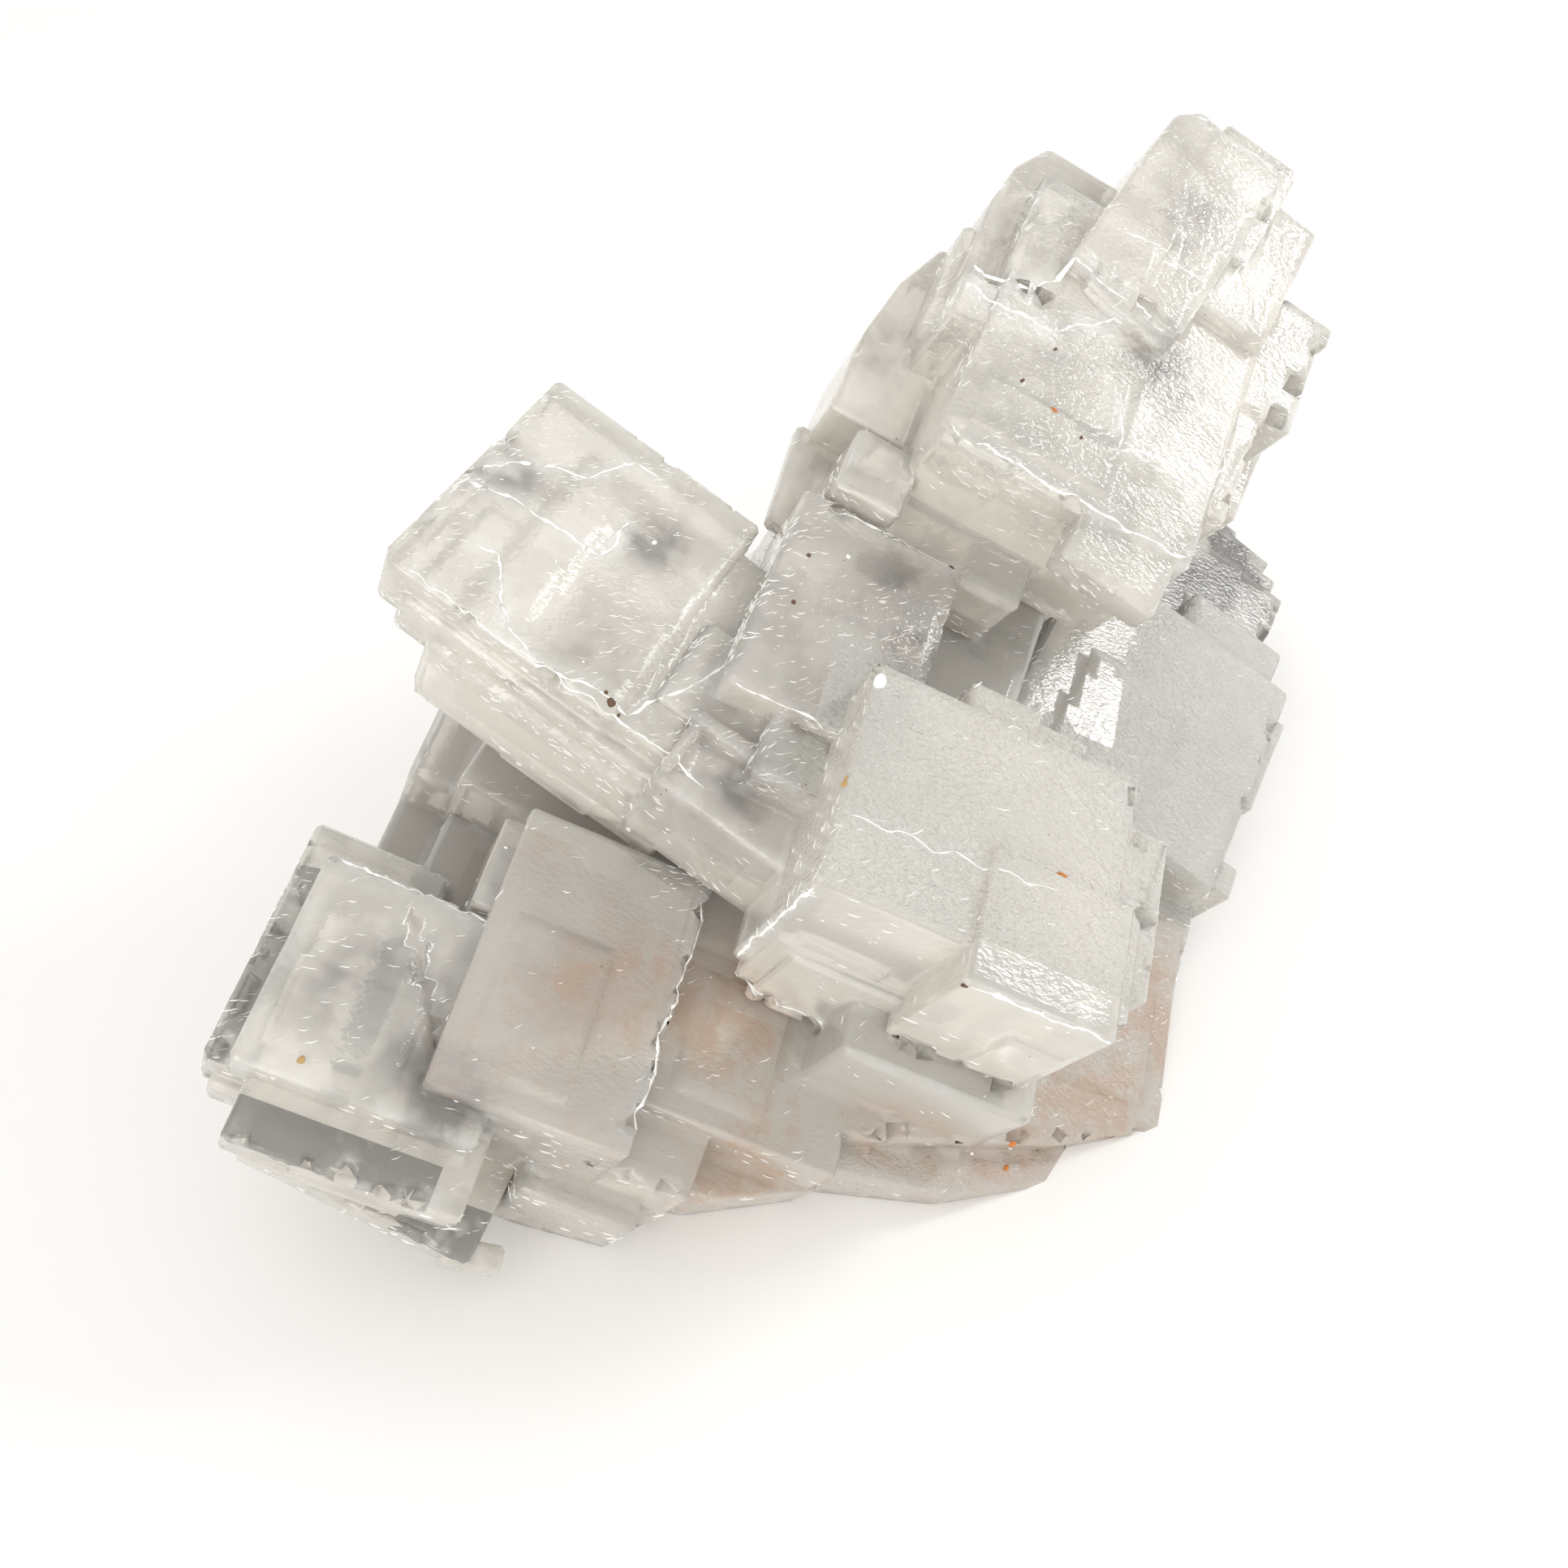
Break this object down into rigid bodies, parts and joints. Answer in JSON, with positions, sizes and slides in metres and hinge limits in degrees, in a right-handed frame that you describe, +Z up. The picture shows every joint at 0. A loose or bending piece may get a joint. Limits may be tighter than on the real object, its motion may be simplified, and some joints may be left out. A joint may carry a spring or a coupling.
{
  "type": "halite crystal cluster",
  "caption": "Intergrown cubic salt crystals in one milky-clear solid with stepped faces, chipped edges and a flat cut base to stand on.",
  "frame": {"origin": "centre of the bounding box's bottom face, on the flat cut base", "axes": "+Z up out of the resting face; +Y away from the side with the large front cube; +X to that side's right"},
  "size_m": [0.0824, 0.0802, 0.0493],
  "materials": {
    "halite": "milky to clear, glossy cleavage faces with scratches, grey haze and clay stains"
  },
  "bodies": {
    "root": {"halite_cluster": "halite"}
  },
  "joints": []
}
